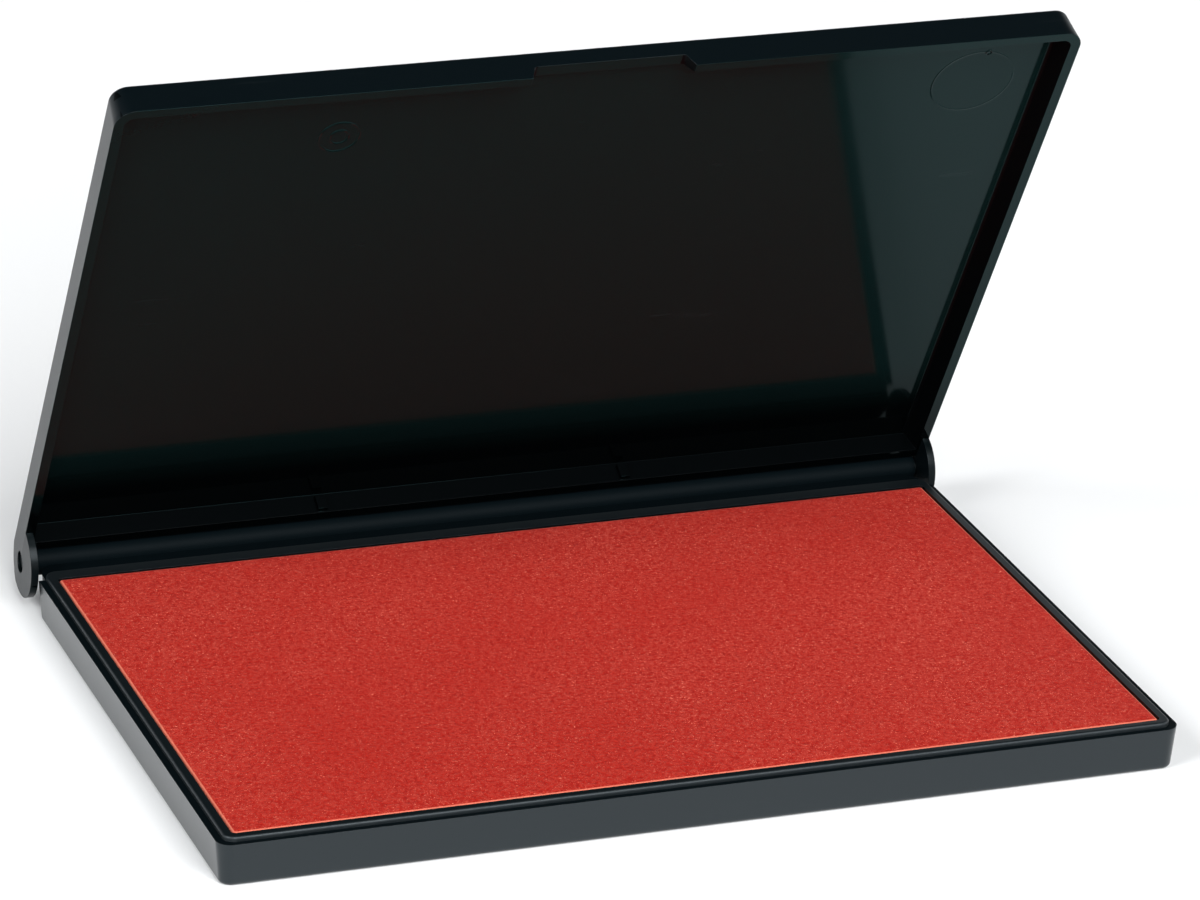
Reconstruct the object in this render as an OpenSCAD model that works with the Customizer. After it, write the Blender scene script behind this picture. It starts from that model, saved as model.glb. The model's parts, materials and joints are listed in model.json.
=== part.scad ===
// Hinged ink pad for rubber stamps: a shallow moulded tray with an inked cloth
// pad, and a lid that swings on two short pins at the back.
// X runs along the length, Y towards the hinge and Z up. The origin is the
// centre of the tray's underside.

/* [Tray] */
// Length of the tray
tray_w = 114.2; // [100:0.1:130]
// Depth of the tray, from its front edge to the back of its hinge bar
tray_d = 81.5; // [76:0.1:95]
// Height of the ledge that the lid closes on
ledge_h = 5.2; // [5:0.1:6]
// Radius of the tray's front corners, seen from above
tray_corner = 1.8; // [1.4:0.1:2.2]
// How far the tray's walls lean in at the bottom
tray_draft = 0.4; // [0:0.05:0.6]
// Thickness of the tray's floor
floor_t = 1.2; // [0.8:0.1:1.4]
// How far the lip stands above the ledge
lip_h = 0.6; // [0.5:0.05:0.9]

/* [Ink pad] */
// Length of the well that holds the pad
well_w = 110.4; // [106:0.1:110.6]
// Depth of the well that holds the pad
well_d = 70.8; // [68:0.05:71.4]
// Gap between the pad and each wall of the well
pad_gap = 0.15; // [0.1:0.05:0.3]
// Thickness of the cover cloth
cloth_t = 0.4; // [0.3:0.05:0.5]
// Thickness of the backing board
board_t = 0.8; // [0.6:0.1:1]
// Thickness of the fine felt directly under the cloth
top_felt_t = 1.2; // [0.8:0.1:1.4]
// How far the pad's face lies below the top of the lip
pad_drop = 0.05; // [0:0.05:0.5]

/* [Lid] */
// How far the lid's walls stand out past the tray on each side
lid_overhang = 0.7; // [0.5:0.05:1]
// Outer height of the lid
lid_h = 4.25; // [4:0.05:5]
// Inner depth of the lid
lid_depth = 2.75; // [2.4:0.05:3]
// Thickness of the lid's walls at the rim
rim_t = 1.2; // [1.1:0.05:1.2]
// Radius of the lid's front corners, seen from above
lid_corner = 2.4; // [2:0.1:3]
// Width of the thumb notch at the rim
notch_w = 19.6; // [14:0.1:26]
// Height of the thumb notch
notch_h = 1.8; // [1:0.1:2.2]
// Opening angle of the lid as drawn
open_angle = 60.5; // [0:0.5:180]

/* [Hinge] */
// Radius of the bar along the back of the tray
bar_r = 1.8; // [1.7:0.05:1.8]
// Radius of the hinge pins
pin_r = 1.24; // [1:0.01:1.3]
// Radial clearance of the pins in the lid's ears
pin_clearance = 0.07; // [0.03:0.01:0.09]
// Radius of the round ears on the lid
ear_r = 4.6; // [4.2:0.05:4.6]

/* [Hidden] */

$fn = 48;
eps = 0.01;
cut = 1; // how far a cutting shape runs past what it cuts

// Tray outline
tray_front = -tray_d / 2;
axis_y = tray_d / 2 - bar_r;
axis_z = ledge_h;
foot_edge = 0.6;
ear_room = 6;
ear_zone_y = axis_y - ear_room;
rear_inset = 0.85;
rear_w = tray_w - 2 * rear_inset;
rear_y = axis_y - 2 * rear_inset;
rear_corner = 3;
bar_inset = 0.6;
bar_w = tray_w - 2 * bar_inset;
web_inset = 2.8;
web_w = tray_w - 2 * web_inset;

// Lip and well
ledge_front = 0.7;
ledge_side = 0.85;
lip_t = 0.95;
lip_front = tray_front + ledge_front;
lip_back = axis_y - 4.9;
lip_w = tray_w - 2 * ledge_side;
lip_corner = 1.4;
lip_edge = 0.3;
well_front = lip_front + lip_t;
well_corner = 0.6;
pad_top = ledge_h + lip_h - pad_drop;

// Ink pad
pad_w = well_w - 2 * pad_gap;
pad_d = well_d - 2 * pad_gap;
pad_front = well_front + pad_gap;
hem_w = 5;
core_gap = 0.05;
core_inset = cloth_t + core_gap;
core_w = pad_w - 2 * core_inset;
core_d = pad_d - 2 * core_inset;
core_front = pad_front + core_inset;
board_z = floor_t + cloth_t;
reservoir_z = board_z + board_t;
top_felt_z = pad_top - cloth_t - top_felt_t;
cloth_corner = 0.5;
core_corner = 0.3;
hem_gap = 1;
glue_margin = hem_w + hem_gap;

// Lid, in its closed position
rim_gap = 0.05;
front_overhang = 0.15;
lid_w = tray_w + 2 * lid_overhang;
lid_front = tray_front - lid_overhang - front_overhang;
lid_draft = 0.35;
lid_edge = 0.5;
lid_back = axis_y - 2.1;
side_t = rim_t + 0.03;
inner_w = lid_w - 2 * side_t;
inner_front = lid_front + rim_t;
inner_back = axis_y - 3.4;
inner_draft = 0.65;
inner_corner = 1.3;
cut_drop = 0.5;
ear_forward = 0.85;
ear_rise = lid_h + rim_gap - ear_r;
ear_t = 0.9;
ear_inner = lid_w / 2 - ear_t;
rib_w = 1.2;
rib_t = 0.6;
rib_h = 2;
rib_rise = 0.2;
rib_x = [-20.6, 18.1];
notch_x = 0.2;
notch_slope = 0.6;
notch_round = 0.5;

// Hinge pins
pin_in = 4;
pin_gap = 0.01;
pin_recess = 0.4;
pin_end = lid_w / 2 - pin_recess;
bore_end = web_w / 2 - pin_in;
bore_spare = 0.1;
pin_start = bore_end + bore_spare;

// Points along an arc, both ends included.
function arc(cx, cy, r, from, to, steps) = [
  for (i = [0:steps])
    let (a = from + (to - from) * i / steps)
      [cx + r * cos(a), cy + r * sin(a)]
];

// Half section of a block's wall: x is measured outwards from a corner's
// centre. The wall leans in towards the bottom and its lower edge is rounded.
// The root is how far the section runs back into the block.
module wall_section(height, reach, draft, edge, root = 0) {
  foot = reach - draft;
  polygon(concat(
    [[-root, 0]],
    arc(foot - edge, edge, edge, -90, 0, 6),
    [[reach, height], [-root, height]]
  ));
}

// A rectangular block with leaning walls and round front corners. Its back is
// flat, or has round corners too.
module leaning_block(width, front, back, height, corner, draft, edge, round_back = false) {
  cx = width / 2 - corner;
  cy = front + corner;
  root = 2;
  end = round_back ? back - corner : back;
  for (side = [0, 1]) {
    mirror([side, 0, 0]) {
      translate([cx, cy, 0])
        rotate([0, 0, 270])
          rotate_extrude(angle = 90)
            wall_section(height, corner, draft, edge);
      translate([cx, end, 0])
        rotate([90, 0, 0])
          linear_extrude(end - cy)
            wall_section(height, corner, draft, edge, root);
      translate([cx, cy, 0])
        rotate([90, 0, -90])
          linear_extrude(cx)
            wall_section(height, corner, draft, edge, root);
      if (round_back) {
        translate([cx, end, 0])
          rotate_extrude(angle = 90)
            wall_section(height, corner, draft, edge);
        translate([0, end, 0])
          rotate([90, 0, 90])
            linear_extrude(cx)
              wall_section(height, corner, draft, edge, root);
      }
    }
  }
  translate([-cx, cy, 0])
    cube([2 * cx, end - cy, height]);
}

// The same block upside down, standing on z = 0 with its narrow end up.
module crowned_block(width, front, back, height, corner, draft, edge, round_back = false) {
  translate([0, 0, height])
    mirror([0, 0, 1])
      leaning_block(width, front, back, height, corner, draft, edge, round_back);
}

// A plain slab with small round corners.
module slab(width, front, depth, z, height, corner) {
  upright = 0;
  square_edge = 0;
  translate([0, 0, z])
    leaning_block(width, front, front + depth, height, corner, upright, square_edge, true);
}

// Puts a part of the lid, drawn closed, into the opened position.
module opened() {
  translate([0, axis_y, axis_z])
    rotate([-open_angle, 0, 0])
      translate([0, -axis_y, -axis_z])
        children();
}

// Rod along X, centred on the hinge axis.
module hinge_rod(from, to, r) {
  translate([from, axis_y, axis_z])
    rotate([0, 90, 0])
      cylinder(h = to - from, r = r);
}

// Round bar on a web that stands on the table. The bar runs out past the web.
module hinge_bar() {
  web_front = rear_y - rear_corner;
  web_d = axis_y + bar_r - web_front;
  hinge_rod(-bar_w / 2, bar_w / 2, bar_r);
  translate([-web_w / 2, web_front, foot_edge])
    cube([web_w, web_d, axis_z - foot_edge]);
  translate([-web_w / 2, web_front, 0])
    cube([web_w, web_d - foot_edge, axis_z]);
}

module tray_body() {
  rear_start = ear_zone_y - tray_corner;
  leaning_block(tray_w, tray_front, ear_zone_y, ledge_h, tray_corner, tray_draft, foot_edge);
  rotate([0, 0, 180])
    leaning_block(rear_w, -rear_y, -rear_start, ledge_h, rear_corner, tray_draft, foot_edge);
  hinge_bar();
  translate([0, 0, ledge_h - eps])
    crowned_block(lip_w, lip_front, lip_back, lip_h + eps, lip_corner, 0, lip_edge, true);
}

module base_tray() {
  color([0.06, 0.07, 0.08])
    difference() {
      tray_body();
      slab(well_w, well_front, well_d, floor_t, ledge_h, well_corner);
      for (side = [0, 1]) {
        mirror([side, 0, 0])
          hinge_rod(bore_end, bar_w / 2 + cut, pin_r + pin_gap);
      }
    }
}

// Thumb notch, drawn on the lid's front wall with sloping, rounded ends.
module thumb_notch() {
  low = notch_w / 2 + notch_slope * cut_drop / notch_h;
  high = notch_w / 2 - notch_slope;
  translate([notch_x, inner_front + inner_corner, axis_z + rim_gap])
    rotate([90, 0, 0])
      linear_extrude(inner_front + inner_corner - lid_front + cut)
        polygon(concat(
          [[-low, -cut_drop], [low, -cut_drop]],
          arc(high - notch_round, notch_h - notch_round, notch_round, 0, 90, 4),
          arc(notch_round - high, notch_h - notch_round, notch_round, 90, 180, 4)
        ));
}

// Round ear that carries the lid on a pin, flush with the lid's leaning side
// and level with its top.
module ear() {
  half = lid_w / 2;
  intersection() {
    translate([ear_inner, axis_y - ear_forward, axis_z + ear_rise])
      rotate([90, 0, 90])
        linear_extrude(ear_t + cut)
          union() {
            circle(r = ear_r);
            translate([-ear_r, rim_gap - ear_rise])
              square(ear_r);
          }
    translate([0, axis_y + ear_r, axis_z + rim_gap])
      rotate([90, 0, 0])
        linear_extrude(4 * ear_r)
          polygon(concat(
            [[ear_inner, -2 * ear_r], [half, -2 * ear_r], [half, 0]],
            arc(half - lid_draft - lid_edge, lid_h - lid_edge, lid_edge, 0, 90, 6),
            [[ear_inner, lid_h]]
          ));
  }
}

module lid_hollow() {
  lean = inner_draft * cut_drop / lid_depth;
  translate([0, 0, axis_z + rim_gap - cut_drop])
    crowned_block(
      inner_w + 2 * lean,
      inner_front - lean,
      inner_back,
      lid_depth + cut_drop,
      inner_corner,
      inner_draft + lean,
      lid_edge
    );
}

module lid_closed() {
  difference() {
    union() {
      difference() {
        translate([0, 0, axis_z + rim_gap])
          crowned_block(lid_w, lid_front, lid_back, lid_h, lid_corner, lid_draft, lid_edge);
        lid_hollow();
        thumb_notch();
      }
      for (x = rib_x) {
        translate([x - rib_w / 2, inner_back - rib_t, axis_z + rim_gap + rib_rise])
          cube([rib_w, 2 * rib_t, rib_h]);
      }
      for (side = [0, 1]) {
        mirror([side, 0, 0])
          ear();
      }
    }
    for (side = [0, 1]) {
      mirror([side, 0, 0])
        hinge_rod(ear_inner - cut, lid_w / 2 + cut, pin_r + pin_clearance);
    }
  }
}

module lid() {
  color([0.05, 0.06, 0.07])
    opened()
      lid_closed();
}

module hinge_pin() {
  color([0.03, 0.03, 0.035])
    hinge_rod(pin_start, pin_end, pin_r);
}

module hinge_pin_right() {
  hinge_pin();
}

module hinge_pin_left() {
  mirror([1, 0, 0])
    hinge_pin();
}

module adhesive_sheet() {
  color([0.85, 0.82, 0.7])
    slab(
      pad_w - 2 * glue_margin,
      pad_front + glue_margin,
      pad_d - 2 * glue_margin,
      floor_t,
      cloth_t,
      core_corner
    );
}

module backing_board() {
  color([0.55, 0.5, 0.42])
    slab(core_w, core_front, core_d, board_z, board_t, core_corner);
}

module reservoir_felt() {
  color([0.5, 0.06, 0.05])
    slab(core_w, core_front, core_d, reservoir_z, top_felt_z - reservoir_z, core_corner);
}

module top_felt() {
  color([0.6, 0.08, 0.06])
    slab(core_w, core_front, core_d, top_felt_z, top_felt_t, core_corner);
}

// Cloth drawn over the felts, down their sides and under the board's edge.
module cover_cloth() {
  color([0.74, 0.17, 0.14])
    difference() {
      slab(pad_w, pad_front, pad_d, floor_t, pad_top - floor_t, cloth_corner);
      slab(
        pad_w - 2 * cloth_t,
        pad_front + cloth_t,
        pad_d - 2 * cloth_t,
        board_z,
        pad_top - cloth_t - board_z,
        core_corner
      );
      slab(
        pad_w - 2 * hem_w,
        pad_front + hem_w,
        pad_d - 2 * hem_w,
        floor_t - cut,
        cloth_t + 2 * cut,
        core_corner
      );
    }
}

base_tray();
lid();
hinge_pin_left();
hinge_pin_right();
adhesive_sheet();
backing_board();
reservoir_felt();
top_felt();
cover_cloth();
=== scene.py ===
"""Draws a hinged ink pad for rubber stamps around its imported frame."""

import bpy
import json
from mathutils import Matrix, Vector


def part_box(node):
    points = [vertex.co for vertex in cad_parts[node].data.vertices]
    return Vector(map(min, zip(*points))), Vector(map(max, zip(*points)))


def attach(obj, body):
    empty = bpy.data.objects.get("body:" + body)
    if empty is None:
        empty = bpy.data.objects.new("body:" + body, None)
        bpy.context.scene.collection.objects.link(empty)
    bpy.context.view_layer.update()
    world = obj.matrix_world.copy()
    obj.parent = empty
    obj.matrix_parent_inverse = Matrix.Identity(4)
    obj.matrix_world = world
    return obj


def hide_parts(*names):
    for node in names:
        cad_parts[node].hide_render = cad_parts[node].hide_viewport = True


bl_info = {
    "name": "Hinged ink pad",
    "version": (1, 0, 0),
    "blender": (4, 5, 0),
    "location": "View3D > Sidebar > Ink pad",
    "description": "Finishes an ink pad's tray, lid and inked cloth around its frame",
    "category": "Object",
}

import json
import math

import bmesh
import bpy
from mathutils import Matrix, Vector, noise

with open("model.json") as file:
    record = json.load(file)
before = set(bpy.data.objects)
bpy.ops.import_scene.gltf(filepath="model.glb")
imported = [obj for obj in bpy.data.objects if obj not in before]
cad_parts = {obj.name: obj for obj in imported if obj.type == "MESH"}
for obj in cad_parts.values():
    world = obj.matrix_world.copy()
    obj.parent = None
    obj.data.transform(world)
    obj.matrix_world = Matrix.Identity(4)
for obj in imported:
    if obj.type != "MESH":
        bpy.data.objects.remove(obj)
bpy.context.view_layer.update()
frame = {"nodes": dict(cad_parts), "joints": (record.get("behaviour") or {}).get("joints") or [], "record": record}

MM = 0.001
LID_HINGE = frame["joints"][0]
HINGE_POINT = Vector(LID_HINGE["pos_m"])
# The lid is drawn this far open, so its closed pose is the hinge's lower limit.
OPEN_ANGLE = -math.radians(LID_HINGE["range_deg"][0])
COLOURS = {m["slot"]: m["base_color"][:3] for m in frame["record"]["materials"]}

# Each finish of the black mouldings. Shine is the shader's specular level, rub is
# how far fine rubs show, and grain is the depth of the skin's faint orange peel.
FINISHES = {
    "black_tray_skin": {"shine": 0.56, "rub": 0.35, "grain": 0.003 * MM},
    "matt_hinge_bar": {"roughness": 0.5, "shine": 0.035, "rub": 0.2, "grain": 0.004 * MM},
    "satin_lip": {"roughness": 0.45, "shine": 0.5, "rub": 0.5, "grain": 0.006 * MM},
    "dark_ledge": {"roughness": 0.6, "shine": 0.04, "rub": 0.1, "grain": 0.002 * MM},
    "dull_pin": {"roughness": 0.5, "shine": 0.12, "rub": 0.2, "grain": 0.001 * MM},
    "black_lid_skin": {"roughness": 0.34, "shine": 0.22, "rub": 0.35, "grain": 0.003 * MM},
    "polished_lid_face": {"shine": 0.105, "rub": 0.12, "grain": 0.0012 * MM},
    "satin_ear": {"roughness": 0.3, "shine": 0.14, "rub": 0.1, "grain": 0.002 * MM},
    "lid_hollow_painted_shade": {"roughness": 0.35, "shine": 0.06, "rub": 0.1, "grain": 0.002 * MM},
}
SKIN_TINT = (0.84, 0.94, 1.0, 1.0)
POLISHED_TINT = (0.36, 0.92, 1.0, 1.0)
POLISHED_BLACK = (0.0018, 0.0076, 0.0074)
# Painted shade: the darker black that the polished face is given next to the hinge.
HINGE_SHADE_BLACK = (0.0004, 0.0007, 0.0008)
EAR_BLACK = (0.0012, 0.0026, 0.003)
# Painted shade: the darker black given to the walls inside the lid's hollow.
HOLLOW_SHADE_BLACK = (0.0006, 0.001, 0.0012)

# Painted shade: going towards the hinge, the polished face is painted darker between these two distances, standing
# in for the shade and the dark reflection of the rear rim there.
SHADE_START = 18 * MM
SHADE_END = 9 * MM

# Faint rings left by the mould: place along the lid, distance from the hinge,
# radius and share of the full depth.
WITNESS_RINGS = (
    (47.3 * MM, 70.3 * MM, 5.0 * MM, 0.4),
    (48.1 * MM, 75.2 * MM, 0.3 * MM, 1.0),
    (-29.7 * MM, 70.0 * MM, 2.4 * MM, 1.0),
    (-29.7 * MM, 70.0 * MM, 1.1 * MM, 1.0),
    (-47.5 * MM, 76.1 * MM, 0.2 * MM, 0.5),
)
RING_LINE = 0.16 * MM
RING_DEPTH = 0.06 * MM

# The cloth is paler between these two distances inside the pad's outline, partly thinner ink over the turn and
# partly a painted highlight where the rolled edge catches the light.
RIM_INSIDE = 0.36 * MM
RIM_FULL = 0.26 * MM

# How near corners are joined, in a frame mesh and in a new one, and how short an
# edge is dropped. Faces that turn less than the flat angle are made one, and an
# edge that turns more than the sharp angle is rounded.
SPLIT_CORNER = 0.002 * MM
SAME_PLACE = 0.001 * MM
NO_LENGTH = 0.0005 * MM
FLAT_ANGLE = math.radians(0.3)
SHARP_ANGLE = math.radians(28)

# What tells the tray's faces apart: half the depth of the hinge bar, the height
# that it starts at, and how near a face of the ledge is to the hinge's height.
BAR_HALF = 2.5 * MM
BAR_BOTTOM = 3 * MM
LEDGE_LEVEL = 0.02 * MM

# What tells the lid's faces apart, with the lid closed: the thickness of its walls,
# where its hollow starts and how high it rises above the hinge, how far the ears
# reach from the hinge, and how squarely a face looks down or sideways.
LID_WALL = 0.7 * MM
HOLLOW_START = 3.2 * MM
HOLLOW_TOP = 3.5 * MM
EAR_REACH = 6.6 * MM
FACES_DOWN = 0.985
FACES_SIDEWAYS = 0.7

# The crowned face of the pad: how sharply it falls at its edges, the share of the
# crown that is even, the share that ripples, and how closely the ripples follow.
CROWN_POWER = 6
CROWN_SHARE = 0.88
RIPPLE_SHARE = 0.12
RIPPLES_PER_METRE = 55.0

CLOTH_THICK = 0.36 * MM
HEM = 4.9 * MM
HEM_FOLD = 0.35 * MM
FELT_CORNER = 0.3 * MM

# Each felt: its colour, the size of its tufts in mm and the piece that it lies on.
FELTS = {
    "reservoir_felt": ((0.2, 0.008, 0.007), 1.1, "backing_board"),
    "top_felt": ((0.32, 0.013, 0.009), 0.7, "reservoir_felt_layer"),
}

# The stage. Lamps: name, place, width in metres and power in watts.
FLOOR_REACH = 3.0
ROOM_WALLS = (0.95, 0.98, 1.01)
ROOM_CEILING = (0.01, 0.011, 0.012)
LAMPS = (
    ("front_panel", (0.1, -2.2, 1.6), 1.6, 96.0),
    ("left_panel", (-2.2, -0.7, 1.4), 1.4, 64.0),
    ("right_panel", (2.2, -0.5, 1.4), 1.4, 18.0),
)
LAMP_TARGET = Vector((0, 0, 0.02))
CAMERA_PLACE = Vector((-0.24034, -0.63298, 0.30964))
CAMERA_AZIMUTH = math.radians(-20.826)
CAMERA_ELEVATION = math.radians(22.502)
CAMERA_ROLL = math.radians(2.3355)


# ---------------------------------------------------------------- settings


class InkPadMouldedSettings(bpy.types.PropertyGroup):
    """The moulded tray, lid and pins."""

    edge_round: bpy.props.FloatProperty(
        name="Edge round",
        description="Radius on the mouldings' sharp edges",
        default=0.16 * MM,
        min=0.02 * MM,
        max=0.4 * MM,
        subtype="DISTANCE",
        unit="LENGTH",
    )
    plastic: bpy.props.FloatVectorProperty(
        name="Plastic",
        description="Colour of the moulded plastic",
        default=(0.0012, 0.003, 0.004),
        size=3,
        min=0,
        max=1,
        subtype="COLOR",
    )
    tray_gloss: bpy.props.FloatProperty(
        name="Tray roughness",
        description="Roughness of the tray's outer skin",
        default=0.2,
        min=0,
        max=1,
        subtype="FACTOR",
    )
    lid_gloss: bpy.props.FloatProperty(
        name="Lid roughness",
        description="Roughness of the lid's polished inner face",
        default=0.09,
        min=0,
        max=1,
        subtype="FACTOR",
    )


class InkPadClothSettings(bpy.types.PropertyGroup):
    """The cover cloth and the felts under it."""

    ink: bpy.props.FloatVectorProperty(
        name="Ink",
        description="Colour of the inked cloth",
        default=(0.378, 0.0075, 0.0028),
        size=3,
        min=0,
        max=1,
        subtype="COLOR",
    )
    fibre: bpy.props.FloatVectorProperty(
        name="Fibre tips",
        description="Colour of the drier tips of the nap",
        default=(0.95, 0.27, 0.18),
        size=3,
        min=0,
        max=1,
        subtype="COLOR",
    )
    rim: bpy.props.FloatVectorProperty(
        name="Rolled edge",
        description="Colour where the cloth turns over the pad's edge",
        default=(0.62, 0.15, 0.095),
        size=3,
        min=0,
        max=1,
        subtype="COLOR",
    )
    crown: bpy.props.FloatProperty(
        name="Crown",
        description="How far the middle of the pad stands above its edges",
        default=0.2 * MM,
        min=0,
        max=0.35 * MM,
        subtype="DISTANCE",
        unit="LENGTH",
    )
    edge_roll: bpy.props.FloatProperty(
        name="Edge roll",
        description="Radius of the cloth's turn over the pad's edge",
        default=0.4 * MM,
        min=0.38 * MM,
        max=1.2 * MM,
        subtype="DISTANCE",
        unit="LENGTH",
    )


class InkPadStageSettings(bpy.types.PropertyGroup):
    """The floor, the light and the camera."""

    floor_colour: bpy.props.FloatVectorProperty(
        name="Floor",
        description="Colour of the table top",
        default=(0.87, 0.88, 0.888),
        size=3,
        min=0,
        max=1,
        subtype="COLOR",
    )
    sky: bpy.props.FloatProperty(
        name="Room light",
        description="Strength of the even light from all round",
        default=1.0,
        min=0,
    )
    lens: bpy.props.FloatProperty(
        name="Lens",
        description="Focal length of the camera",
        default=191.3,
        min=20,
        unit="CAMERA",
    )


# ------------------------------------------------------------ shader groups


SURFACE_OUTPUTS = (
    ("Color", "NodeSocketColor"),
    ("Roughness", "NodeSocketFloat"),
    ("Height", "NodeSocketFloat"),
)


def new_group(name, inputs, outputs):
    """An empty shader group with the sockets named, and its two end nodes."""
    group = bpy.data.node_groups.new(name, "ShaderNodeTree")
    for label, kind, value in inputs:
        socket = group.interface.new_socket(label, in_out="INPUT", socket_type=kind)
        socket.default_value = value
    for label, kind in outputs:
        group.interface.new_socket(label, in_out="OUTPUT", socket_type=kind)
    start = group.nodes.new("NodeGroupInput")
    end = group.nodes.new("NodeGroupOutput")
    return group, start, end


def add(tree, kind, **values):
    """A node whose named inputs are set."""
    node = tree.nodes.new(kind)
    for label, value in values.items():
        node.inputs[label].default_value = value
    return node


def feed(tree, value, socket):
    """Links another socket to this one, or sets a plain value on it."""
    if isinstance(value, bpy.types.NodeSocket):
        tree.links.new(value, socket)
    else:
        socket.default_value = value


def math_node(tree, operation, *values):
    """A Math node fed by sockets or numbers."""
    node = tree.nodes.new("ShaderNodeMath")
    node.operation = operation
    for index, value in enumerate(values):
        feed(tree, value, node.inputs[index])
    return node.outputs[0]


def mix_colour(tree, factor, first, second):
    """A colour between two others."""
    node = tree.nodes.new("ShaderNodeMix")
    node.data_type = "RGBA"
    # A Mix node names its inputs alike, so its colour sockets go by number.
    for index, value in ((0, factor), (6, first), (7, second)):
        feed(tree, value, node.inputs[index])
    return node.outputs[2]


def span(tree, value, low, high, to_low=0.0, to_high=1.0):
    """A value moved from one range to another and held inside it."""
    node = tree.nodes.new("ShaderNodeMapRange")
    node.inputs["From Min"].default_value = low
    node.inputs["From Max"].default_value = high
    node.inputs["To Min"].default_value = to_low
    node.inputs["To Max"].default_value = to_high
    tree.links.new(value, node.inputs["Value"])
    return node.outputs["Result"]


def object_place(tree):
    """The object's own coordinates, in metres."""
    return tree.nodes.new("ShaderNodeTexCoord").outputs["Object"]


def noise_layer(tree, place, **values):
    """A noise pattern over a place, as a value about 0.5."""
    layer = add(tree, "ShaderNodeTexNoise", **values)
    tree.links.new(place, layer.inputs["Vector"])
    return layer


def make_skin_group():
    """Moulded skin: faint orange peel, a soft uneven gloss and a few fine rubs."""
    noise_middle = 0.5
    rub_dulls = 0.3
    group, start, end = new_group(
        "moulded_skin",
        [
            ("Plastic", "NodeSocketColor", (0.006, 0.011, 0.014, 1)),
            ("Rubbed", "NodeSocketColor", (0.03, 0.036, 0.04, 1)),
            ("Roughness", "NodeSocketFloat", 0.2),
            ("Unevenness", "NodeSocketFloat", 0.05),
            ("Rub amount", "NodeSocketFloat", 0.3),
            ("Peel depth", "NodeSocketFloat", 0.5),
        ],
        SURFACE_OUTPUTS,
    )
    place = object_place(group)
    peel = noise_layer(group, place, Scale=1400.0, Detail=2.0, Roughness=0.5)
    cloudy = noise_layer(group, place, Scale=45.0, Detail=4.0, Roughness=0.6)
    stretch = add(group, "ShaderNodeMapping", Rotation=(0.3, 0.2, 0.9), Scale=(40.0, 900.0, 300.0))
    group.links.new(place, stretch.inputs["Vector"])
    rubs = noise_layer(group, stretch.outputs[0], Scale=1.0, Detail=3.0, Roughness=0.7)
    streak = span(group, rubs.outputs["Fac"], low=0.66, high=0.74)
    patch = span(group, cloudy.outputs["Fac"], low=0.45, high=0.75)
    worn = math_node(group, "MULTIPLY", streak, patch)
    rub = math_node(group, "MULTIPLY", worn, start.outputs["Rub amount"])
    colour = mix_colour(group, rub, start.outputs["Plastic"], start.outputs["Rubbed"])
    swing = math_node(group, "SUBTRACT", cloudy.outputs["Fac"], noise_middle)
    uneven = math_node(group, "MULTIPLY", swing, start.outputs["Unevenness"])
    rough = math_node(group, "ADD", start.outputs["Roughness"], uneven)
    rough = math_node(group, "ADD", rough, math_node(group, "MULTIPLY", rub, rub_dulls))
    height = math_node(group, "MULTIPLY", peel.outputs["Fac"], start.outputs["Peel depth"])
    group.links.new(colour, end.inputs["Color"])
    group.links.new(rough, end.inputs["Roughness"])
    group.links.new(height, end.inputs["Height"])
    return group


def make_nap_group():
    """Short matted nap: tufts, single fibres, a slow change in how wet it is and painted shade in the hollows
    between tufts.
    """
    mm_per_metre = 1000.0
    fibres_per_tuft = 2.3
    fibre_height = 0.5
    matted_share = 0.16
    group, start, end = new_group(
        "short_nap",
        [
            ("Wet", "NodeSocketColor", (0.5, 0.04, 0.02, 1)),
            ("Dry tips", "NodeSocketColor", (0.7, 0.09, 0.06, 1)),
            ("Tuft size", "NodeSocketFloat", 0.5),
            ("Tip amount", "NodeSocketFloat", 0.6),
        ],
        SURFACE_OUTPUTS,
    )
    place = object_place(group)
    tufts_per_metre = math_node(group, "DIVIDE", mm_per_metre, start.outputs["Tuft size"])
    fibres_per_metre = math_node(group, "MULTIPLY", tufts_per_metre, fibres_per_tuft)
    tuft = noise_layer(group, place, Detail=3.0, Roughness=0.65, Distortion=0.6)
    fibre = noise_layer(group, place, Detail=2.0, Roughness=0.6, Distortion=1.5)
    wet = noise_layer(group, place, Scale=38.0, Detail=3.0, Roughness=0.6)
    group.links.new(tufts_per_metre, tuft.inputs["Scale"])
    group.links.new(fibres_per_metre, fibre.inputs["Scale"])
    lying = span(group, tuft.outputs["Fac"], low=0.42, high=0.68)
    matted = math_node(group, "MULTIPLY", lying, matted_share)
    strand = span(group, fibre.outputs["Fac"], low=0.635, high=0.68)
    drier = span(group, wet.outputs["Fac"], low=0.3, high=0.7, to_low=0.55)
    tips = math_node(group, "ADD", matted, strand)
    tips = math_node(group, "MULTIPLY", tips, start.outputs["Tip amount"])
    tips = math_node(group, "MULTIPLY", tips, drier)
    colour = mix_colour(group, tips, start.outputs["Wet"], start.outputs["Dry tips"])
    # Painted shade: the colour is darkened to 0.82 in the hollows between tufts.
    shade = group.nodes.new("ShaderNodeVectorMath")
    shade.operation = "SCALE"
    hollow = span(group, tuft.outputs["Fac"], low=0.3, high=0.5, to_low=0.82)
    group.links.new(colour, shade.inputs[0])
    group.links.new(hollow, shade.inputs["Scale"])
    fine = math_node(group, "MULTIPLY", fibre.outputs["Fac"], fibre_height)
    height = math_node(group, "ADD", tuft.outputs["Fac"], fine)
    rough = span(group, wet.outputs["Fac"], low=0.3, high=0.7, to_low=0.72, to_high=0.86)
    group.links.new(shade.outputs[0], end.inputs["Color"])
    group.links.new(rough, end.inputs["Roughness"])
    group.links.new(height, end.inputs["Height"])
    return group


# ---------------------------------------------------------------- materials


def rgba(colour):
    """A colour with full cover."""
    return (*colour, 1.0)


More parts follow.
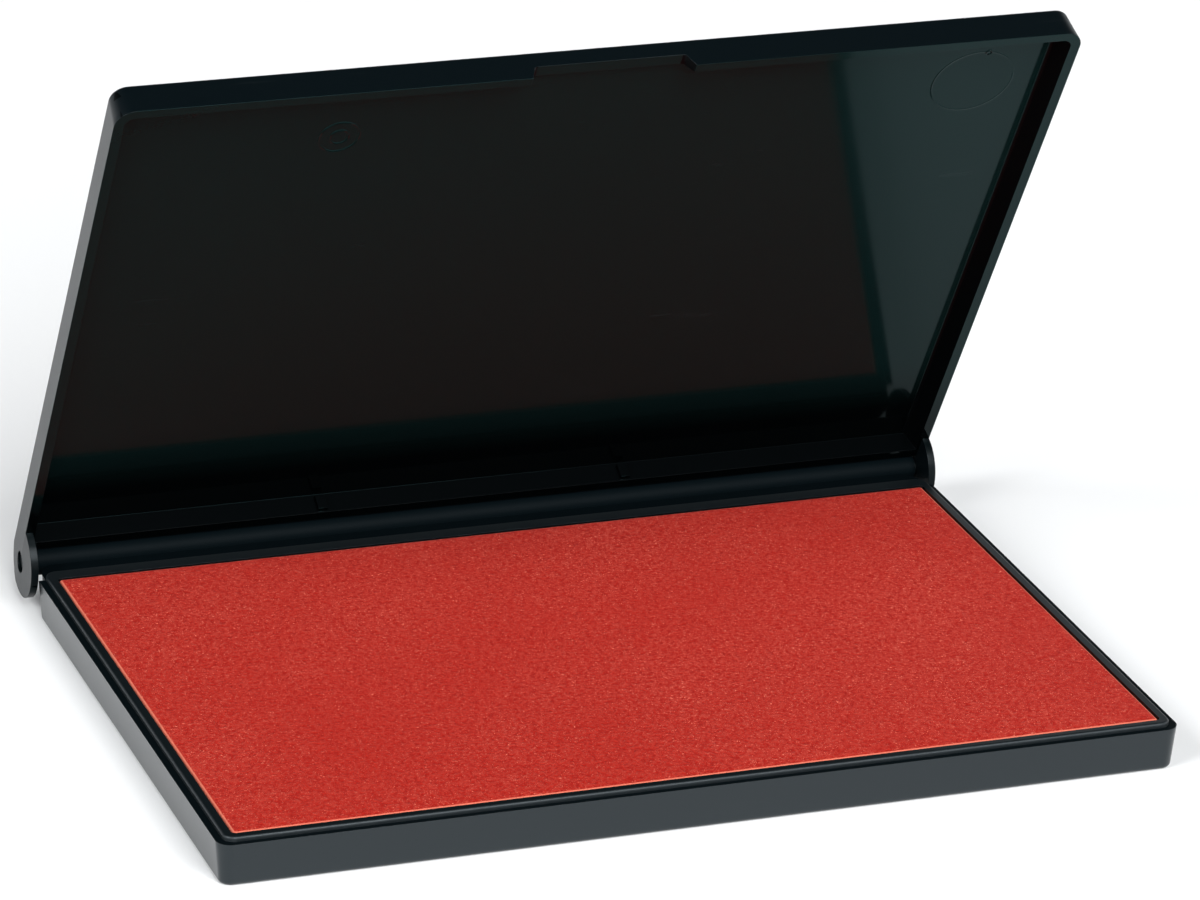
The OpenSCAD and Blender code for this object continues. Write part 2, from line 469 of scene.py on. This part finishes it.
def new_material(name, slot):
    """A material with its shader, named after the finish it carries."""
    material = bpy.data.materials.new(name)
    material.use_nodes = True
    material.diffuse_color = rgba(COLOURS[slot])
    return material, material.node_tree, material.node_tree.nodes["Principled BSDF"]


def use_group(tree, group, **values):
    """A shader group placed in a material. An underscore stands for a space."""
    node = tree.nodes.new("ShaderNodeGroup")
    node.node_tree = group
    for label, value in values.items():
        node.inputs[label.replace("_", " ")].default_value = value
    return node


def bump(tree, shader, height, distance):
    """Raises the surface by a height, over whatever bump it already has."""
    normal = shader.inputs["Normal"]
    node = add(tree, "ShaderNodeBump", Distance=distance, Strength=1.0)
    tree.links.new(height, node.inputs["Height"])
    if normal.is_linked:
        tree.links.new(normal.links[0].from_socket, node.inputs["Normal"])
    tree.links.new(node.outputs[0], normal)


def moulded_material(name, slot, plastic, roughness=None):
    """Black moulded plastic in one of the finishes listed at the top."""
    finish = FINISHES[name]
    if roughness is None:
        roughness = finish["roughness"]
    material, tree, shader = new_material(name, slot)
    group = bpy.data.node_groups.get("moulded_skin") or make_skin_group()
    rub = finish["rub"]
    skin = use_group(tree, group, Plastic=rgba(plastic), Roughness=roughness, Rub_amount=rub)
    tree.links.new(skin.outputs["Color"], shader.inputs["Base Color"])
    tree.links.new(skin.outputs["Roughness"], shader.inputs["Roughness"])
    bump(tree, shader, skin.outputs["Height"], finish["grain"])
    shader.inputs["Specular IOR Level"].default_value = finish["shine"]
    shader.inputs["Specular Tint"].default_value = SKIN_TINT
    return material


def lid_place(tree):
    """Split coordinates, turned so that the lid lies closed and its hinge is at zero."""
    move = add(tree, "ShaderNodeMapping", Location=-HINGE_POINT)
    turn = tree.nodes.new("ShaderNodeVectorRotate")
    turn.rotation_type = "X_AXIS"
    turn.inputs["Angle"].default_value = OPEN_ANGLE
    tree.links.new(object_place(tree), move.inputs["Vector"])
    tree.links.new(move.outputs[0], turn.inputs["Vector"])
    parts = tree.nodes.new("ShaderNodeSeparateXYZ")
    tree.links.new(turn.outputs[0], parts.inputs[0])
    return parts


def ring_mark(tree, place, centre_x, from_hinge, radius, depth):
    """A thin round line on the lid's inner face, as a height."""
    away = tree.nodes.new("ShaderNodeCombineXYZ")
    tree.links.new(math_node(tree, "SUBTRACT", place.outputs["X"], centre_x), away.inputs[0])
    tree.links.new(math_node(tree, "ADD", place.outputs["Y"], from_hinge), away.inputs[1])
    length = tree.nodes.new("ShaderNodeVectorMath")
    length.operation = "LENGTH"
    tree.links.new(away.outputs[0], length.inputs[0])
    off = math_node(tree, "SUBTRACT", length.outputs["Value"], radius)
    off = math_node(tree, "ABSOLUTE", off)
    return span(tree, off, low=0.0, high=RING_LINE, to_low=depth, to_high=0.0)


def lid_inner_material(settings):
    """The lid's polished inner face, with painted shade towards the hinge and the faint witness marks of its
    mould.
    """
    material = moulded_material(
        "polished_lid_face", "lid_plastic", POLISHED_BLACK, settings.lid_gloss
    )
    tree = material.node_tree
    shader = tree.nodes["Principled BSDF"]
    shader.inputs["Specular Tint"].default_value = POLISHED_TINT
    place = lid_place(tree)
    y = place.outputs["Y"]
    # Painted shade: near the hinge the face's colour is blended to a darker black.
    clear = span(tree, y, low=-SHADE_START, high=-SHADE_END, to_low=1.0, to_high=0.0)
    skin_colour = shader.inputs["Base Color"].links[0].from_socket
    colour = mix_colour(tree, clear, rgba(HINGE_SHADE_BLACK), skin_colour)
    tree.links.new(colour, shader.inputs["Base Color"])
    rings = [ring_mark(tree, place, *ring) for ring in WITNESS_RINGS]
    marks = rings[0]
    for ring in rings[1:]:
        marks = math_node(tree, "MAXIMUM", marks, ring)
    bump(tree, shader, marks, RING_DEPTH)
    return material


def nap_material(name, slot, depth, **looks):
    """Inked nap. The looks are values for the nap group's inputs."""
    material, tree, shader = new_material(name, slot)
    group = bpy.data.node_groups.get("short_nap") or make_nap_group()
    nap = use_group(tree, group, **looks)
    tree.links.new(nap.outputs["Color"], shader.inputs["Base Color"])
    tree.links.new(nap.outputs["Roughness"], shader.inputs["Roughness"])
    bump(tree, shader, nap.outputs["Height"], depth)
    return material, tree, shader


def outline_distance(tree, low, high):
    """How far a place lies outside a box's outline. Inside it, the value is negative."""
    parts = tree.nodes.new("ShaderNodeSeparateXYZ")
    tree.links.new(object_place(tree), parts.inputs[0])
    centre = (low + high) / 2
    half = (high - low) / 2
    x_from = math_node(tree, "ABSOLUTE", parts.outputs["X"])
    y_from = math_node(tree, "SUBTRACT", parts.outputs["Y"], centre.y)
    y_from = math_node(tree, "ABSOLUTE", y_from)
    x_out = math_node(tree, "SUBTRACT", x_from, half.x)
    y_out = math_node(tree, "SUBTRACT", y_from, half.y)
    return math_node(tree, "MAXIMUM", x_out, y_out)


def cloth_material(settings, low, high):
    """Inked nap, paler and more orange where the cloth turns over the pad's edge: partly thinner ink, partly a
    painted highlight.
    """
    material, tree, shader = nap_material(
        "inked_cover_cloth",
        "inked_cloth",
        depth=0.18 * MM,
        Wet=rgba(settings.ink),
        Dry_tips=rgba(settings.fibre),
        Tuft_size=0.5,
        Tip_amount=0.9,
    )
    out = outline_distance(tree, low, high)
    # Partly painted highlight: a paler band on the shoulder of the rolled edge.
    edge = span(tree, out, low=-RIM_INSIDE, high=-RIM_FULL)
    nap_colour = shader.inputs["Base Color"].links[0].from_socket
    colour = mix_colour(tree, edge, nap_colour, rgba(settings.rim))
    tree.links.new(colour, shader.inputs["Base Color"])
    shader.inputs["Specular IOR Level"].default_value = 0.1
    shader.inputs["Sheen Weight"].default_value = 0.02
    shader.inputs["Sheen Roughness"].default_value = 0.4
    return material


def felt_material(name, colour, tuft):
    """Pressed felt soaked with ink."""
    gain, lift = 1.5, 0.02
    paler = tuple(min(1.0, c * gain + lift) for c in colour)
    material, _, _ = nap_material(
        name,
        "inked_felt",
        depth=0.25 * MM,
        Wet=rgba(colour),
        Dry_tips=rgba(paler),
        Tuft_size=tuft,
        Tip_amount=0.5,
    )
    return material


def board_material():
    """Grey pressed card: flecked faces and thin plies along its edge."""
    dark_share = 0.55
    material, tree, shader = new_material("pressed_card", "board")
    place = object_place(tree)
    flatten = add(tree, "ShaderNodeMapping", Scale=(60.0, 60.0, 9000.0))
    tree.links.new(place, flatten.inputs["Vector"])
    flecks = noise_layer(tree, place, Scale=2600.0, Detail=4.0, Roughness=0.7)
    plies = noise_layer(tree, flatten.outputs[0], Scale=1.0, Detail=2.0)
    grey = rgba(COLOURS["board"])
    dark = rgba(tuple(c * dark_share for c in COLOURS["board"]))
    fleck = span(tree, flecks.outputs["Fac"], low=0.35, high=0.7)
    ply = span(tree, plies.outputs["Fac"], low=0.4, high=0.6, to_high=0.35)
    colour = mix_colour(tree, fleck, dark, grey)
    colour = mix_colour(tree, ply, colour, dark)
    tree.links.new(colour, shader.inputs["Base Color"])
    bump(tree, shader, flecks.outputs["Fac"], distance=0.03 * MM)
    shader.inputs["Roughness"].default_value = 0.9
    return material


def adhesive_material():
    """Tacky film with small trapped bubbles."""
    pale_share = 1.15
    material, tree, shader = new_material("tacky_film", "adhesive")
    place = object_place(tree)
    bubbles = add(tree, "ShaderNodeTexVoronoi", Scale=700.0, Randomness=1.0)
    tree.links.new(place, bubbles.inputs["Vector"])
    cloudy = noise_layer(tree, place, Scale=120.0, Detail=3.0)
    film = rgba(COLOURS["adhesive"])
    pale = rgba(tuple(min(1.0, c * pale_share) for c in COLOURS["adhesive"]))
    patch = span(tree, cloudy.outputs["Fac"], low=0.35, high=0.65)
    rough = span(tree, cloudy.outputs["Fac"], low=0.3, high=0.7, to_low=0.25, to_high=0.45)
    tree.links.new(mix_colour(tree, patch, film, pale), shader.inputs["Base Color"])
    tree.links.new(rough, shader.inputs["Roughness"])
    bump(tree, shader, bubbles.outputs["Distance"], distance=0.05 * MM)
    return material


# ---------------------------------------------------------------- mesh tools


def new_piece(name, mesh_maker, materials, body):
    """Links a finished bmesh as a piece that rides on a body."""
    mesh = bpy.data.meshes.new(name)
    mesh_maker.to_mesh(mesh)
    mesh_maker.free()
    piece = bpy.data.objects.new(name, mesh)
    bpy.context.scene.collection.objects.link(piece)
    for material in materials:
        mesh.materials.append(material)
    mesh.polygons.foreach_set("use_smooth", [True] * len(mesh.polygons))
    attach(piece, body)
    return piece


def node_mesh(node):
    """A node's mesh with its split corners joined and its flat faces made whole."""
    maker = bmesh.new()
    maker.from_mesh(frame["nodes"][node].data)
    bmesh.ops.remove_doubles(maker, verts=maker.verts, dist=SPLIT_CORNER)
    bmesh.ops.dissolve_limit(
        maker,
        angle_limit=FLAT_ANGLE,
        verts=maker.verts,
        edges=maker.edges,
        use_dissolve_boundaries=False,
    )
    return maker


def round_edges(piece, width):
    """Real rounds on the sharp edges, shaded so that flat faces stay flat."""
    bevel = piece.modifiers.new("edge_rounds", "BEVEL")
    bevel.width = width
    bevel.segments = 3
    bevel.limit_method = "ANGLE"
    bevel.angle_limit = SHARP_ANGLE
    bevel.use_clamp_overlap = True
    bevel.miter_outer = "MITER_ARC"
    level = piece.modifiers.new("level_faces", "WEIGHTED_NORMAL")
    level.mode = "FACE_AREA"
    level.weight = 50


def corner_point(half, centre_y, reach, sign_x, sign_y, angle):
    """A point on a rounded corner, or on a square one inside the corner centres."""
    out_x = reach * (math.cos(angle) if reach > 0 else sign_x)
    out_y = reach * (math.sin(angle) if reach > 0 else sign_y)
    return Vector((sign_x * half[0] + out_x, centre_y + sign_y * half[1] + out_y))


def ring_points(half, centre_y, reach, sides, corner_steps):
    """Points round a rounded rectangle that lies reach outside its corner centres."""
    corners = ((1, -1, -90), (1, 1, 0), (-1, 1, 90), (-1, -1, 180))
    points = []
    for index, (sign_x, sign_y, first) in enumerate(corners):
        for step in range(corner_steps + 1):
            angle = math.radians(first + 90 * step / corner_steps)
            points.append(corner_point(half, centre_y, reach, sign_x, sign_y, angle))
        next_x, next_y, next_first = corners[(index + 1) % 4]
        begin = points[-1]
        end = corner_point(half, centre_y, reach, next_x, next_y, math.radians(next_first))
        count = sides[1] if index % 2 == 0 else sides[0]
        points.extend(begin.lerp(end, i / count) for i in range(1, count))
    return points


def fill_grid(maker, half, centre_y, sides, height_at, upward):
    """A grid over the flat middle of a slab's face."""
    rows = []
    for j in range(sides[1] + 1):
        y = centre_y - half[1] + 2 * half[1] * j / sides[1]
        xs = [-half[0] + 2 * half[0] * i / sides[0] for i in range(sides[0] + 1)]
        rows.append([maker.verts.new((x, y, height_at(x, y))) for x in xs])
    for lower, upper in zip(rows, rows[1:]):
        for i in range(sides[0]):
            corners = (lower[i], lower[i + 1], upper[i + 1], upper[i])
            maker.faces.new(corners if upward else corners[::-1])


def swept_slab(half, centre_y, profile, top_at, bottom_at, sides=(96, 62), corner_steps=6):
    """A closed slab: a face, a profile swept round its outline, and a second face.

    The profile's points are (reach outside the corner centres, height).
    """
    maker = bmesh.new()
    fill_grid(maker, half, centre_y, sides, top_at, True)
    rings = []
    for reach, z in profile:
        points = ring_points(half, centre_y, reach, sides, corner_steps)
        rings.append([maker.verts.new((point.x, point.y, z)) for point in points])
    for first, second in zip(rings, rings[1:]):
        for i in range(len(first)):
            j = (i + 1) % len(first)
            maker.faces.new((first[j], first[i], second[i], second[j]))
    fill_grid(maker, half, centre_y, sides, bottom_at, False)
    bmesh.ops.remove_doubles(maker, verts=maker.verts, dist=SAME_PLACE)
    bmesh.ops.dissolve_degenerate(maker, edges=maker.edges, dist=NO_LENGTH)
    bmesh.ops.recalc_face_normals(maker, faces=maker.faces)
    return maker


def arc_points(reach, z, radius, first, last, steps=6):
    """Profile points along an arc, in degrees, both ends included."""
    angles = [math.radians(first + (last - first) * i / steps) for i in range(steps + 1)]
    return [(reach + radius * math.cos(a), z + radius * math.sin(a)) for a in angles]


def crowned(top, crown, half, centre_y):
    """Height of a softly crowned face, level along its own edges."""

    def height(x, y):
        across = 1 - min(1.0, abs(x) / half[0]) ** CROWN_POWER
        along = 1 - min(1.0, abs(y - centre_y) / half[1]) ** CROWN_POWER
        ripple = noise.noise(Vector((x, y, 0.0)) * RIPPLES_PER_METRE) * RIPPLE_SHARE
        return top + crown * across * along * (CROWN_SHARE + ripple)

    return height


# ------------------------------------------------------------------- pieces


class INKPAD_OT_mouldings(bpy.types.Operator):
    """Finish the moulded tray and the two hinge pins"""

    bl_idname = "inkpad.mouldings"
    bl_label = "Tray and pins"

    def execute(self, context):
        settings = context.scene.inkpad_moulded
        plastic = settings.plastic
        skins = [
            moulded_material("black_tray_skin", "tray_plastic", plastic, settings.tray_gloss),
            moulded_material("matt_hinge_bar", "tray_plastic", plastic),
            moulded_material("satin_lip", "tray_plastic", plastic),
            moulded_material("dark_ledge", "tray_plastic", plastic),
        ]
        tray = new_piece("tray_moulding", node_mesh("base_tray"), skins, "base")
        self.sort_faces(tray)
        round_edges(tray, settings.edge_round)
        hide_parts("base_tray")
        dull = moulded_material("dull_pin", "pin_plastic", plastic)
        for side in ("left", "right"):
            node = f"hinge_pin_{side}"
            pin = new_piece(f"pin_{side}", node_mesh(node), [dull], "base")
            round_edges(pin, settings.edge_round)
            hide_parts(node)
        return {"FINISHED"}

    def sort_faces(self, tray):
        """The hinge bar is matt, the lip is satin and the ledge round it is dull."""
        bar, lip, shut_line = 1, 2, 3
        ledge = HINGE_POINT.z
        for face in tray.data.polygons:
            centre = face.center
            if centre.y > HINGE_POINT.y - BAR_HALF and centre.z > BAR_BOTTOM:
                face.material_index = bar
            elif centre.z > ledge + LEDGE_LEVEL:
                face.material_index = lip
            elif centre.z > ledge - LEDGE_LEVEL:
                face.material_index = shut_line


class INKPAD_OT_lid(bpy.types.Operator):
    """Finish the lid, with its polished inner face"""

    bl_idname = "inkpad.lid"
    bl_label = "Lid"

    def execute(self, context):
        settings = context.scene.inkpad_moulded
        skins = [
            moulded_material("black_lid_skin", "lid_plastic", settings.plastic),
            lid_inner_material(settings),
            moulded_material("satin_ear", "lid_plastic", EAR_BLACK),
            # Painted shade: the hollow's walls get a darker black than the rest of the lid.
            moulded_material("lid_hollow_painted_shade", "lid_plastic", HOLLOW_SHADE_BLACK),
        ]
        lid = new_piece("lid_moulding", node_mesh("lid"), skins, "lid")
        self.sort_faces(lid)
        round_edges(lid, settings.edge_round)
        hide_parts("lid")
        return {"FINISHED"}

    def sort_faces(self, lid):
        """The inner face and the rim are polished, the hollow's walls are painted darker as shade, the ears are
        satin.
        """
        polished, ear, hollow = 1, 2, 3
        close = Matrix.Rotation(OPEN_ANGLE, 3, "X")
        corners = [close @ (corner.co - HINGE_POINT) for corner in lid.data.vertices]
        half_x = max(corner.x for corner in corners)
        reach = max(-corner.y for corner in corners)
        for face in lid.data.polygons:
            normal = close @ face.normal
            centre = close @ (face.center - HINGE_POINT)
            between_sides = abs(centre.x) < half_x - LID_WALL
            between_ends = HOLLOW_START < -centre.y < reach - LID_WALL
            if normal.z < -FACES_DOWN:
                face.material_index = polished
            elif between_sides and between_ends and centre.z < HOLLOW_TOP:
                face.material_index = hollow
            elif -centre.y < EAR_REACH and abs(normal.x) < FACES_SIDEWAYS:
                face.material_index = ear


class INKPAD_OT_core(bpy.types.Operator):
    """Build the felts, and finish the board and the adhesive under them"""

    bl_idname = "inkpad.core"
    bl_label = "Felts, board and adhesive"

    def execute(self, context):
        crown = context.scene.inkpad_cloth.crown
        for node, (colour, tuft, under) in FELTS.items():
            low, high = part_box(node)
            swell = crown if node == "top_felt" else 0.0
            material = felt_material(f"{node}_fibres", colour, tuft)
            slab = self.felt_slab(low, high, swell)
            felt = new_piece(f"{node}_layer", slab, [material], "base")
            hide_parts(node)
        self.finish_node("backing_board", board_material())
        self.finish_node("adhesive_sheet", adhesive_material())
        return {"FINISHED"}

    def felt_slab(self, low, high, swell):
        """A felt with softened edges, whose top face may stand a little proud."""
        corner = FELT_CORNER
        half = ((high.x - low.x) / 2 - corner, (high.y - low.y) / 2 - corner)
        centre_y = (low.y + high.y) / 2
        profile = arc_points(0, high.z - corner, corner, 90, 0, steps=4)
        profile += arc_points(0, low.z + corner, corner, 0, -90, steps=4)
        return swept_slab(
            half,
            centre_y,
            profile,
            crowned(high.z, swell, half, centre_y),
            lambda x, y: low.z,
            sides=(60, 40),
            corner_steps=4,
        )

    def finish_node(self, node, material):
        """A better material on a frame node that keeps its shape."""
        mesh = frame["nodes"][node].data
        mesh.materials.clear()
        mesh.materials.append(material)


class INKPAD_OT_cloth(bpy.types.Operator):
    """Stretch the inked cloth over the felts and turn its hem under the board"""

    bl_idname = "inkpad.cloth"
    bl_label = "Cover cloth"

    def execute(self, context):
        settings = context.scene.inkpad_cloth
        low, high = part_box("cover_cloth")
        roll = settings.edge_roll
        half = ((high.x - low.x) / 2 - roll, (high.y - low.y) / 2 - roll)
        centre_y = (low.y + high.y) / 2
        sheet = swept_slab(
            half,
            centre_y,
            self.turned_profile(low, high, roll),
            crowned(high.z, settings.crown, half, centre_y),
            crowned(high.z - CLOTH_THICK, settings.crown, half, centre_y),
        )
        material = cloth_material(settings, low, high)
        cloth = new_piece("inked_cloth", sheet, [material], "base")
        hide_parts("cover_cloth")
        return {"FINISHED"}

    def turned_profile(self, low, high, roll):
        """Down the pad's side and in under the board, then back along the cloth's inside."""
        fold_reach = roll - HEM_FOLD
        inner_z = low.z + CLOTH_THICK
        outside = arc_points(0, high.z - roll, roll, 90, 0)
        outside += arc_points(fold_reach, low.z + HEM_FOLD, HEM_FOLD, 0, -90, steps=4)
        outside.append((roll - HEM, low.z))
        inside = [(roll - HEM, inner_z), (roll - CLOTH_THICK, inner_z)]
        inside += arc_points(0, high.z - roll, roll - CLOTH_THICK, 0, 90)
        return outside + inside


class INKPAD_OT_stage(bpy.types.Operator):
    """Lay the floor, set the soft light and stand the camera"""

    bl_idname = "inkpad.stage"
    bl_label = "Floor, light and camera"

    def execute(self, context):
        settings = context.scene.inkpad_stage
        self.lay_floor(context, settings)
        self.set_light(context, settings)
        self.stand_camera(context, settings)
        return {"FINISHED"}

    def lay_floor(self, context, settings):
        """A plain pale table top."""
        material = bpy.data.materials.new("matt_table")
        material.use_nodes = True
        shader = material.node_tree.nodes["Principled BSDF"]
        shader.inputs["Base Color"].default_value = rgba(settings.floor_colour)
        shader.inputs["Roughness"].default_value = 0.75
        shader.inputs["Specular IOR Level"].default_value = 0.2
        maker = bmesh.new()
        signs = ((-1, -1), (1, -1), (1, 1), (-1, 1))
        maker.faces.new([maker.verts.new((x * FLOOR_REACH, y * FLOOR_REACH, 0)) for x, y in signs])
        mesh = bpy.data.meshes.new("table_top")
        maker.to_mesh(mesh)
        maker.free()
        mesh.materials.append(material)
        table = bpy.data.objects.new("table_top", mesh)
        context.scene.collection.objects.link(table)

    def set_light(self, context, settings):
        """White walls under a dark ceiling, and three soft panels."""
        world = bpy.data.worlds.new("white_room")
        world.use_nodes = True
        tree = world.node_tree
        room = tree.nodes["Background"]
        parts = tree.nodes.new("ShaderNodeSeparateXYZ")
        tree.links.new(tree.nodes.new("ShaderNodeTexCoord").outputs["Generated"], parts.inputs[0])
        height = span(tree, parts.outputs["Z"], low=0.1, high=0.55)
        colour = mix_colour(tree, height, rgba(ROOM_WALLS), rgba(ROOM_CEILING))
        tree.links.new(colour, room.inputs["Color"])
        room.inputs["Strength"].default_value = settings.sky
        context.scene.world = world
        for name, place, size, power in LAMPS:
            lamp = bpy.data.lights.new(name, "AREA")
            lamp.size = size
            lamp.energy = power
            holder = bpy.data.objects.new(name, lamp)
            holder.location = place
            aim = LAMP_TARGET - Vector(place)
            holder.rotation_euler = aim.to_track_quat("-Z", "Y").to_euler()
            context.scene.collection.objects.link(holder)
        context.scene.view_settings.view_transform = "Standard"

    def stand_camera(self, context, settings):
        """A long lens in front of the pad, to its left and a little above it."""
        across, forward = -math.sin(CAMERA_AZIMUTH), math.cos(CAMERA_AZIMUTH)
        slope = math.cos(CAMERA_ELEVATION)
        ahead = Vector((across * slope, forward * slope, -math.sin(CAMERA_ELEVATION)))
        level = ahead.cross(Vector((0, 0, 1))).normalized()
        upright = level.cross(ahead)
        right = math.cos(CAMERA_ROLL) * level + math.sin(CAMERA_ROLL) * upright
        up = math.cos(CAMERA_ROLL) * upright - math.sin(CAMERA_ROLL) * level
        turn = Matrix((right, up, -ahead)).transposed()
        lens = bpy.data.cameras.new("camera")
        lens.lens = settings.lens
        lens.sensor_width = 36
        lens.clip_start = 0.01
        camera = bpy.data.objects.new("camera", lens)
        camera.matrix_world = Matrix.Translation(CAMERA_PLACE) @ turn.to_4x4()
        context.scene.collection.objects.link(camera)
        context.scene.camera = camera


class INKPAD_PT_panel(bpy.types.Panel):
    """Lists the ink pad's settings and pieces"""

    bl_idname = "INKPAD_PT_panel"
    bl_label = "Ink pad"
    bl_space_type = "VIEW_3D"
    bl_region_type = "UI"
    bl_category = "Ink pad"

    def draw(self, context):
        scene = context.scene
        for group in (scene.inkpad_moulded, scene.inkpad_cloth, scene.inkpad_stage):
            box = self.layout.box()
            for name in group.__annotations__:
                box.prop(group, name)
        for operator in OPERATORS:
            self.layout.operator(operator.bl_idname)


OPERATORS = (
    INKPAD_OT_stage,
    INKPAD_OT_mouldings,
    INKPAD_OT_lid,
    INKPAD_OT_core,
    INKPAD_OT_cloth,
)
SETTINGS = {
    "inkpad_moulded": InkPadMouldedSettings,
    "inkpad_cloth": InkPadClothSettings,
    "inkpad_stage": InkPadStageSettings,
}


def register():
    """Makes the settings, the operators and the panel known to Blender."""
    for settings in SETTINGS.values():
        bpy.utils.register_class(settings)
    for name, settings in SETTINGS.items():
        setattr(bpy.types.Scene, name, bpy.props.PointerProperty(type=settings))
    for operator in OPERATORS:
        bpy.utils.register_class(operator)
    bpy.utils.register_class(INKPAD_PT_panel)


def unregister():
    """Takes them away again."""
    bpy.utils.unregister_class(INKPAD_PT_panel)
    for operator in reversed(OPERATORS):
        bpy.utils.unregister_class(operator)
    for name, settings in SETTINGS.items():
        delattr(bpy.types.Scene, name)
        bpy.utils.unregister_class(settings)


def main():
    """Builds the ink pad and its stage."""
    register()
    bpy.ops.inkpad.stage()
    bpy.ops.inkpad.mouldings()
    bpy.ops.inkpad.lid()
    bpy.ops.inkpad.core()
    bpy.ops.inkpad.cloth()
    bpy.context.view_layer.update()


if __name__ == "__main__":
    main()
